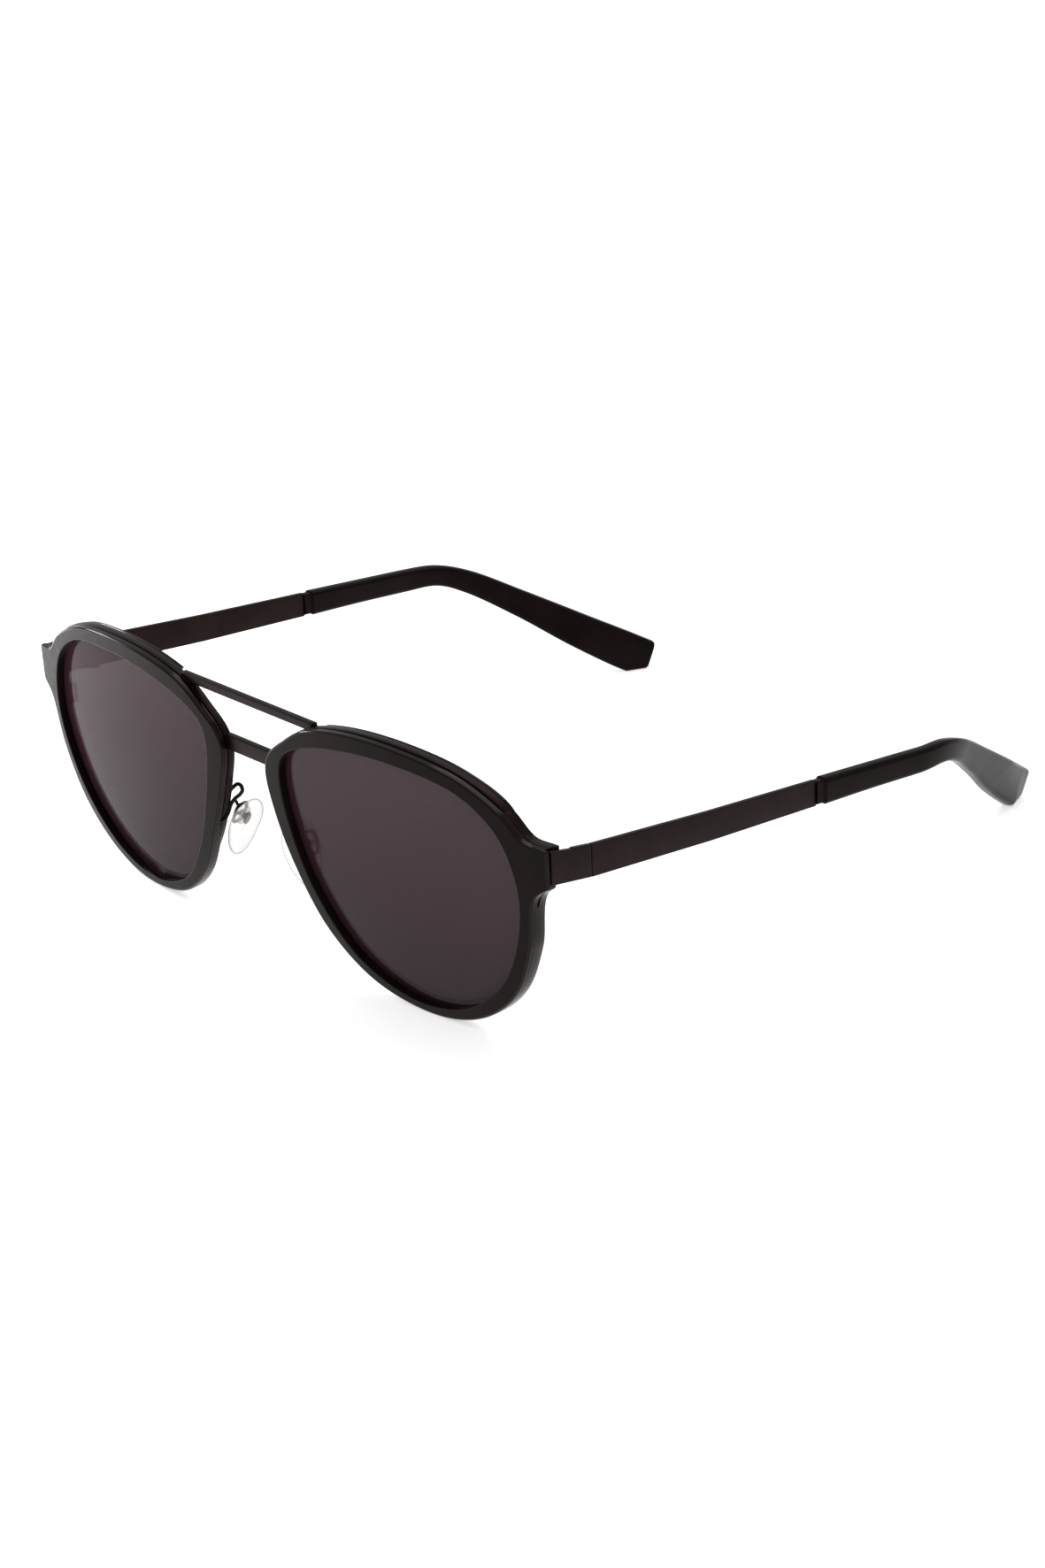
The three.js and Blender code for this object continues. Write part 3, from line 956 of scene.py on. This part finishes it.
def pin_shell(centre: Sequence[float], profile: Sequence[tuple[float, float]],
              sides: int = 40) -> Shell:
    """A solid pin turned about an upright axis, closed by a pole at each end.

    Args:
        centre: a point on the axis.
        profile: open list of radius and height from bottom to top.
        sides: stations round the axis.

    Returns:
        The closed surface.
    """
    turn = np.linspace(0, 2 * math.pi, sides, endpoint=False)[None, :]
    radius = np.array([r for r, _ in profile])[:, None]
    height = np.array([h for _, h in profile])[:, None]
    grid = np.stack([centre[0] + radius * np.cos(turn), centre[1] + radius * np.sin(turn),
                     centre[2] + height + 0 * turn], -1)
    first = np.array([centre[0], centre[1], centre[2] + profile[0][1]])
    last = np.array([centre[0], centre[1], centre[2] + profile[-1][1]])
    return Shell.domed_grid(first, grid, last)


# ---------------------------------------------------------------------------------------------
# Temples and hinges
# ---------------------------------------------------------------------------------------------


@dataclass
class Temple:
    """One end piece, hinge, steel arm and acetate tip."""

    side: Side
    form: FrontForm
    finishes: Finishes
    side_x: float = 71.4
    sheet: float = 1.0
    panel_start: float = 8.3
    seam_y: float = 17.16
    tip_start: float = 70.8
    bend_start: float = 97.0
    bend_length: float = 16.0
    bend_slope: float = 0.44
    knuckle_radius: float = 1.25
    knuckle_bore: float = 0.8
    tab_x: tuple[float, float] = (66.7, 71.0)
    tab_z: float = 36.8
    tab_depth: float = 2.35
    tab_half: tuple[float, float] = (0.6, 2.45)
    rivet_places: tuple = ((10.83, 35.5), (16.75, 35.9))
    shoulder_span: tuple[float, float] = (20.6, 40.0)
    shoulder_width: float = 1.6
    arm_gap: float = 0.15
    upper_guides: tuple = ((70.8, 33.1), (85, 31.8), (98, 30.6), (106, 29.7), (113, 27.2),
                           (125, 20.3), (138, 12.5), (146, 7.7), (150.2, 5.1))
    lower_guides: tuple = ((70.8, 28.0), (85, 27.1), (97.5, 26.1), (105.5, 25.5), (111, 23.1),
                           (121, 16.2), (132, 7.6), (143.2, 0.0), (147.6, -2.0))

    def __post_init__(self) -> None:
        """Find the hinge in the frame."""
        self.body = f"temple_{self.side.value}"
        joint = next(j for j in frame["joints"] if j["name"] == f"{self.side.value}_temple_fold")
        x, y, z = (value / MM for value in joint["pos_m"])
        self.hinge = (abs(x), y, z)

    def inward(self, y: Array) -> Array:
        """Inward turn of the tip: none, then a quarter parabola, then a straight slope."""
        past = np.maximum(0, y - self.bend_start)
        curve = self.bend_slope * past**2 / (2 * self.bend_length)
        line = self.bend_slope * (past - self.bend_length / 2)
        return np.where(past < self.bend_length, curve, line)

    def inward_slope(self, y: Array) -> Array:
        """Slope of the inward turn."""
        past = np.clip(y - self.bend_start, 0, self.bend_length)
        return self.bend_slope * past / self.bend_length

    def flat_strip(self, y: Array, bottom: Array, top: Array, inset: Array, corner: float,
                   inside: float, outside: float) -> Shell:
        """An upright flat strip along y, with its lower and upper edges at each station.

        Args:
            y: stations along the strip.
            bottom: height of the lower edge.
            top: height of the upper edge.
            inset: how far the section is drawn in.
            corner: radius of the long edges.
            inside: x of the inner face.
            outside: x of the outer face.

        Returns:
            The closed surface.
        """
        count = len(y)
        centres = np.stack([np.full(count, (inside + outside) / 2), y + self.form.depth_zero,
                            (bottom + top) / 2], 1)
        across, up = rounded_box_section((outside - inside) / 2 - inset,
                                         (top - bottom) / 2 - inset, np.full(count, corner))
        return Shell.capped_grid(carry(centres, np.tile([1.0, 0.0, 0.0], (count, 1)),
                                       np.tile([0.0, 0.0, 1.0], (count, 1)), across, up))

    def end_piece(self) -> None:
        """Side face of the end piece with a small step, its tab, the shoulder strip and two pins."""
        start, stop = self.panel_start, self.seam_y
        places, inset = soft_ends(60, stop - start, 0.08)
        y = start + places
        top = np.interp(y, [start, 13.15, 13.3, stop], [39.6, 38.65, 38.8, 38.2])
        bottom = np.interp(y, [start, stop], [33.6, 32.3])
        panel = self.flat_strip(y, bottom, top, inset, 0.16, self.side_x - self.sheet, self.side_x)
        x = np.linspace(*self.tab_x, 12)
        count = len(x)
        z = np.full(count, self.tab_z)
        centres = np.stack([x, self.form.depth_zero + self.form.surface(x, z) + self.tab_depth, z], 1)
        across, up = rounded_box_section(np.full(count, self.tab_half[0]),
                                         np.full(count, self.tab_half[1]), np.full(count, 0.12))
        tab = Shell.capped_grid(carry(centres, np.tile([0.0, 1.0, 0.0], (count, 1)),
                                      np.tile([0.0, 0.0, 1.0], (count, 1)), across, up))
        pins = [self.rivet(*place) for place in self.rivet_places]
        build_piece(f"side_steel_{self.side.value}", [panel, tab, self.shoulder(), *pins],
                    self.side, "front", [self.finishes.steel],
                    [self.side.node("end_piece")])

    def shoulder(self) -> Shell:
        """Strip of the end piece that runs on from the eyewire along the rim's top edge."""
        form = self.form
        outer = form.rim - 0.06
        inner = np.minimum(np.maximum(form.wire + 0.03, outer - self.shoulder_width), outer - 0.3)
        front, back, bevel = 1.5, 3.0, 0.12
        section = [(inner, front), (outer - bevel, front), (outer, front + bevel),
                   (outer, back - bevel), (outer - bevel, back), (inner, back)]
        return Shell.capped_grid(form.band(*self.shoulder_span, section))

    def rivet(self, y: float, z: float) -> Shell:
        """A small domed pin head on the side face: circles that shrink outwards.

        Args:
            y: place along the side.
            z: height.

        Returns:
            The closed surface.
        """
        turn = np.linspace(0, 2 * math.pi, 24, endpoint=False)
        steps = ((0.02, -0.1), (0.17, -0.1), (0.17, 0.0), (0.15, 0.04), (0.08, 0.06))
        rings = np.stack([np.stack([np.full(24, self.side_x + out), y + r * np.cos(turn),
                                    z + r * np.sin(turn)], 1) for r, out in steps])
        rings[..., 1] += self.form.depth_zero
        middle = (y + self.form.depth_zero, z)
        return Shell.domed_grid(np.array([self.side_x - 0.1, *middle]), rings,
                                np.array([self.side_x + 0.065, *middle]))

    def arm(self) -> None:
        """Flat steel arm that tapers towards the tip."""
        start, stop = self.seam_y + self.arm_gap, self.tip_start - 0.05
        places, inset = soft_ends(160, stop - start, 0.08)
        y = start + places
        top = np.interp(y, [start, 45, stop], [38.15, 35.25, 32.95])
        bottom = np.interp(y, [start, 45, stop], [32.25, 29.8, 28.05])
        strip = self.flat_strip(y, bottom, top, inset, 0.16, self.side_x - self.sheet, self.side_x)
        build_piece(f"steel_arm_{self.side.value}", [strip], self.side, self.body,
                    [self.finishes.steel], [self.side.node("temple_arm")])

    def tip(self) -> None:
        """Acetate tip: a rounded section carried down the bend into a wider, cut-off end."""
        upper = smooth_curve(self.upper_guides, closed=False, per_span=30)
        lower = smooth_curve(self.lower_guides, closed=False, per_span=30)
        lower[:, 1] = np.maximum(lower[:, 1], 0.0)
        middle = (upper + lower) / 2
        rise = upper - lower
        high = np.linalg.norm(rise, axis=1) / 2
        up2 = unit(rise)
        length = np.concatenate([[0], np.cumsum(np.linalg.norm(np.diff(middle, axis=0), axis=1))])
        total = length[-1]
        neck = np.clip((length - 1.4) / 0.35, 0, 1)
        close = np.clip((total - length) / 0.5, 0, 1)
        end_round = np.sqrt(np.clip(1 - (1 - close) ** 2, 0.0, 1)) * 0.35 - 0.35
        half_high = high * (0.86 + 0.14 * neck) + end_round
        half_wide = 1.4 * (0.62 + 0.38 * neck) + end_round
        corner = 0.35 + 0.6 * neck
        slope = self.inward_slope(middle[:, 0])
        angle = np.arctan(slope)
        across_axis = np.stack([np.cos(angle), np.sin(angle), 0 * angle], 1)
        up_axis = np.stack([0 * angle, up2[:, 0], up2[:, 1]], 1)
        x = self.side_x - self.sheet / 2 - self.inward(middle[:, 0])
        centres = np.stack([x, middle[:, 0] + self.form.depth_zero, middle[:, 1]], 1)
        across, up = rounded_box_section(half_wide * np.cos(angle * 0.6), half_high, corner, 7)
        grid = carry(centres, across_axis, up_axis, across, up)
        build_piece(f"acetate_tip_{self.side.value}", [Shell.capped_grid(grid)], self.side,
                    self.body, [self.finishes.tip_acetate],
                    [self.side.node("temple_tip")], 30)

    def knuckle(self, bottom: float, top: float) -> Shell:
        """A hinge knuckle: a bevelled ring round the hinge axis."""
        outer, bore, soft = self.knuckle_radius, self.knuckle_bore, 0.1
        profile = [(bore, bottom + soft), (bore + soft, bottom), (outer - soft, bottom),
                   (outer, bottom + soft), (outer, top - soft), (outer - soft, top),
                   (bore + soft, top), (bore, top - soft)]
        return turned_shell(self.hinge, profile)

    def hinge_leaves(self) -> None:
        """The front leaf with two knuckles, the temple leaf with one, and the screw."""
        x, y, z = self.hinge
        front = [self.knuckle(-1.8, -0.75), self.knuckle(0.75, 1.8)]
        front += [block_shell((x + 0.78, y - 1.15, z + h), (0.47, 1.15, 0.52), 0.08)
                  for h in (-1.275, 1.275)]
        front.append(block_shell((x + 1.325, y - 3.9, z), (0.375, 2.2, 1.8), 0.12))
        build_piece(f"hinge_front_leaf_{self.side.value}", front, self.side, "front",
                    [self.finishes.hinge], [self.side.node("front_hinge")])
        rear = [self.knuckle(-0.6, 0.6), block_shell((x + 0.78, y + 1.2, z), (0.47, 1.15, 0.59), 0.08),
                block_shell((x + 1.325, y + 4.7, z), (0.375, 3.0, 1.8), 0.12)]
        build_piece(f"hinge_temple_leaf_{self.side.value}", rear, self.side, self.body,
                    [self.finishes.hinge], [self.side.node("temple_hinge")])
        screw = pin_shell(self.hinge, [(0.45, -2.0), (0.6, -1.9), (0.6, 1.78), (1.0, 1.8),
                                       (1.05, 1.84), (1.05, 1.9), (0.97, 1.97), (0.5, 1.98)])
        build_piece(f"hinge_pin_{self.side.value}", [screw], self.side, "front",
                    [self.finishes.hinge], [self.side.node("hinge_screw")])

    def build(self) -> None:
        """Build every piece of the temple."""
        self.end_piece()
        self.arm()
        self.tip()
        self.hinge_leaves()


# ---------------------------------------------------------------------------------------------
# Nose pads
# ---------------------------------------------------------------------------------------------


@dataclass
class NosePad:
    """One clear pad with its metal core, wire arm and holder."""

    side: Side
    form: FrontForm
    finishes: Finishes
    middle: tuple[float, float, float] = (8.55, 6.6, 21.0)
    tilt_degrees: float = -23.0
    splay_degrees: float = -8.0
    half_thick: float = 1.3
    core_height: float = 1.6
    holder_depth: float = 2.2
    holder_half: tuple[float, float] = (1.4, 2.05)
    holder_wire: float = 0.3
    squareness: float = 0.6
    link_radius: float = 0.3
    wire_radius: float = 0.36
    outline_guides: tuple = (
        (-1.0, 6.0), (-3.4, 4.7), (-4.3, 1.9), (-3.9, -1.2), (-3.0, -3.9), (-1.6, -5.9),
        (0.1, -6.3), (1.7, -4.3), (2.6, -1.0), (3.0, 2.0), (2.5, 4.3), (1.1, 5.8),
    )
    wire_guides: tuple = (
        (10.95, 2.5, 22.5), (10.6, 3.3, 22.8), (10.15, 4.0, 24.1), (9.8, 4.3, 25.4),
        (8.7, 4.5, 26.9), (7.2, 4.7, 28.2), (6.5, 4.7, 29.2), (6.7, 4.6, 30.0), (7.6, 4.6, 30.05),
        (8.8, 4.5, 29.2), (9.9, 4.3, 28.0), (10.6, 4.0, 26.8),
    )

    def __post_init__(self) -> None:
        """Work out the pad's turned axes and its place."""
        tilt = Matrix.Rotation(math.radians(self.tilt_degrees), 3, "Y")
        splay = Matrix.Rotation(math.radians(self.splay_degrees), 3, "Z")
        shift = np.array(self.middle) + np.array([0.0, self.form.depth_zero, 0.0])
        self.placing = np.hstack([np.array(splay @ tilt), shift[:, None]])

    def pad(self) -> None:
        """Silicone pad: a drop outline, crowned towards the nose, with an oval boss behind."""
        outline = smooth_curve(self.outline_guides, closed=True, per_span=12)
        heart = np.array([-0.6, 0.6])
        crown = np.linspace(0.1, math.pi - 0.1, 34)
        shrink = np.sin(crown) ** 0.3
        bulge = -self.half_thick * np.cos(crown)
        rings = np.stack([np.stack([np.full(len(outline), t), *(heart + (outline - heart) * s).T], 1)
                          for t, s in zip(bulge, shrink)])
        first = np.array([-self.half_thick, *heart])
        last = np.array([self.half_thick, *heart])
        body = Shell.domed_grid(first, rings, last).moved(self.placing)
        boss = self.oval([(1.0, 0.9), (1.45, 1.0), (1.5, 1.22), (1.35, 1.35), (0.9, 1.37)], 1.3)
        build_piece(f"clear_pad_{self.side.value}", [body, boss], self.side,
                    f"pad_{self.side.value}", [self.finishes.silicone],
                    [self.side.node("nose_pad")], 60)

    def oval(self, profile: Sequence[tuple[float, float]], stretch: float) -> Shell:
        """An ellipse carried through the pad at the core's height.

        Args:
            profile: half width and place along the pad's thickness, from the skin side out.
            stretch: height over width.

        Returns:
            The closed surface.
        """
        turn = np.linspace(0, 2 * math.pi, 44, endpoint=False)
        rings = np.stack([np.stack([np.full(44, depth), r * np.cos(turn),
                                    self.core_height + stretch * r * np.sin(turn)], 1)
                          for r, depth in profile])
        first = np.array([profile[0][1], 0, self.core_height])
        last = np.array([profile[-1][1], 0, self.core_height])
        return Shell.domed_grid(first, rings, last).moved(self.placing)

    def core(self) -> None:
        """Metal plate held in the silicone, with the stem that enters the holder."""
        plate = self.oval([(0.6, 0.1), (0.78, 0.18), (0.78, 0.5), (0.6, 0.58)], 1.75)
        stem = self.oval([(0.3, 0.5), (0.42, 0.56), (0.42, 2.1), (0.36, 2.16)], 1.5)
        build_piece(f"pad_core_{self.side.value}", [plate, stem], self.side,
                    f"pad_{self.side.value}", [self.finishes.insert],
                    [self.side.node("pad_insert")])

    def arm(self) -> None:
        """Bent wire soldered to the eyewire, a short link and the open holder of the pad."""
        shift = np.array([0.0, self.form.depth_zero, 0.0])
        count = 110
        loop = even_points(smooth_curve(self.wire_guides, closed=False) + shift, count)
        wire = Shell.capped_grid(round_bar_grid(loop, np.full(count, self.wire_radius), (0, 1, 0)))
        holder_place = self.placing @ np.array([self.holder_depth, -0.9, self.core_height + 1.75, 1.0])
        start = np.array(self.wire_guides[4]) + shift
        middle = start * 0.5 + holder_place * 0.5 + np.array([0.15, 0.0, 0.1])
        link_path = even_points(smooth_curve([start, middle, holder_place], closed=False), 30)
        link = Shell.capped_grid(round_bar_grid(link_path, np.full(30, self.link_radius), (0, 1, 0)))
        build_piece(f"pad_wire_{self.side.value}", [wire, link, *self.holder()], self.side, "front",
                    [self.finishes.hinge], [self.side.node("pad_arm")])

    def holder(self) -> list[Shell]:
        """Open holder round the stem: a wire loop with a bar across its middle.

        Returns:
            The loop, a rounded rectangle, and the bar.
        """
        turn = np.linspace(0, 2 * math.pi, 64, endpoint=False)
        half_wide, half_tall = self.holder_half
        wire = self.holder_wire
        wide = half_wide * np.sign(np.cos(turn)) * np.abs(np.cos(turn)) ** self.squareness
        tall = half_tall * np.sign(np.sin(turn)) * np.abs(np.sin(turn)) ** self.squareness
        round_wire = np.linspace(0, 2 * math.pi, 12, endpoint=False)
        grid = np.stack([np.stack([np.full(64, self.holder_depth + wire * math.sin(a)),
                                   wide * (1 + wire * math.cos(a) / half_wide),
                                   self.core_height + tall * (1 + wire * math.cos(a) / half_tall)],
                                  1)
                         for a in round_wire], 1)
        path = np.stack([np.full(24, self.holder_depth), np.linspace(-1.35, 1.35, 24),
                         np.full(24, self.core_height)], 1)
        bridge = Shell.capped_grid(round_bar_grid(path, np.full(24, 0.28), (0, 0, 1)))
        return [Shell.loop_grid(grid).moved(self.placing), bridge.moved(self.placing)]

    def build(self) -> None:
        """Build every piece of the pad."""
        self.pad()
        self.core()
        self.arm()


# ---------------------------------------------------------------------------------------------
# Studio
# ---------------------------------------------------------------------------------------------


@dataclass(frozen=True)
class Lamp:
    """A square soft light: places in metres, the side of its square, and its power in watts."""

    name: str
    place: tuple[float, float, float]
    aim: tuple[float, float, float]
    size: float
    power: float

    def build(self) -> None:
        """Hang the light and turn it to its aim."""
        data = bpy.data.lights.new(self.name, "AREA")
        data.shape = "SQUARE"
        data.size = self.size
        data.energy = self.power
        light = bpy.data.objects.new(self.name, data)
        light.location = self.place
        towards = Vector(self.aim) - Vector(self.place)
        light.rotation_euler = towards.to_track_quat("-Z", "Y").to_euler()
        bpy.context.scene.collection.objects.link(light)


@dataclass
class Studio:
    """Plain pale floor, soft light and the camera."""

    azimuth: float = 48.63
    elevation: float = 22.96
    roll: float = -2.26
    lens_mm: float = 82.0
    distance_mm: float = 632.5
    target_mm: tuple[float, float, float] = (29.9, -35.9, 30.1)
    floor_half: float = 3.0
    floor_tone: float = 0.93
    floor_glow: float = 0.55
    world_strength: float = 0.55
    lamps: tuple[Lamp, ...] = (
        Lamp("overhead_softbox", (-0.1, 0.35, 0.9), (0.0, 0.0, 0.03), 0.7, 3.0),
        Lamp("left_table_lamp", (-0.27, -0.12, 0.13), (-0.27, -0.119, 0.0), 0.12, 0.8),
    )

    def floor(self) -> None:
        """A wide white sheet that the glasses stand on."""
        half = self.floor_half
        mesh = bpy.data.meshes.new("studio_floor")
        mesh.from_pydata([(-half, -half, 0), (half, -half, 0), (half, half, 0), (-half, half, 0)],
                         [], [(0, 1, 2, 3)])
        sheet = NodeSheet("white_floor")
        sheet.put("Base Color", (self.floor_tone, self.floor_tone, self.floor_tone, 1.0))
        sheet.put("Emission Color", (1.0, 1.0, 1.0, 1.0))
        sheet.put("Emission Strength", self.floor_glow)
        sheet.put("Roughness", 0.9)
        sheet.put("Specular IOR Level", 0.1)
        mesh.materials.append(sheet.material)
        floor = bpy.data.objects.new("studio_floor", mesh)
        bpy.context.scene.collection.objects.link(floor)

    def light(self) -> None:
        """White surroundings, a soft light overhead and a small low lamp at the left."""
        world = bpy.data.worlds.new("white_studio")
        world.use_nodes = True
        background = world.node_tree.nodes["Background"]
        background.inputs["Color"].default_value = (1, 1, 1, 1)
        background.inputs["Strength"].default_value = self.world_strength
        bpy.context.scene.world = world
        bpy.context.scene.view_settings.view_transform = "Standard"
        for lamp in self.lamps:
            lamp.build()

    def camera(self) -> None:
        """The camera: a turn about the glasses, a height and a slight roll."""
        az, el, roll = (math.radians(v) for v in (self.azimuth, self.elevation, self.roll))
        back = Vector((math.sin(az) * math.cos(el), -math.cos(az) * math.cos(el), math.sin(el)))
        right = Vector((math.cos(az), math.sin(az), 0.0))
        up = back.cross(right)
        turned_right = right * math.cos(roll) + up * math.sin(roll)
        turned_up = up * math.cos(roll) - right * math.sin(roll)
        data = bpy.data.cameras.new("camera")
        data.lens = self.lens_mm
        data.sensor_width = 36.0
        camera = bpy.data.objects.new("camera", data)
        place = Vector(self.target_mm) * MM + back * self.distance_mm * MM
        turn = Matrix((turned_right, turned_up, back)).transposed().to_4x4()
        camera.matrix_world = Matrix.Translation(place) @ turn
        bpy.context.scene.collection.objects.link(camera)
        bpy.context.scene.camera = camera

    def build(self) -> None:
        """Build the floor, the lights and the camera."""
        self.floor()
        self.light()
        self.camera()


def dress_frame_nodes(finishes: Finishes) -> None:
    """Give the CAD nodes that stay their material.

    Args:
        finishes: the glasses' materials.
    """
    for side in Side:
        screw = frame["nodes"][side.node("closing_screw")]
        screw.data.materials.clear()
        screw.data.materials.append(finishes.hinge)


def main() -> None:
    """Build the glasses and the studio in order."""
    logging.basicConfig(level=logging.INFO, format="%(message)s")
    Studio().build()
    finishes = Finishes()
    form = FrontForm()
    Front(form, finishes).build()
    for side in Side:
        Temple(side, form, finishes).build()
        NosePad(side, form, finishes).build()
    dress_frame_nodes(finishes)


if __name__ == "__main__":
    main()
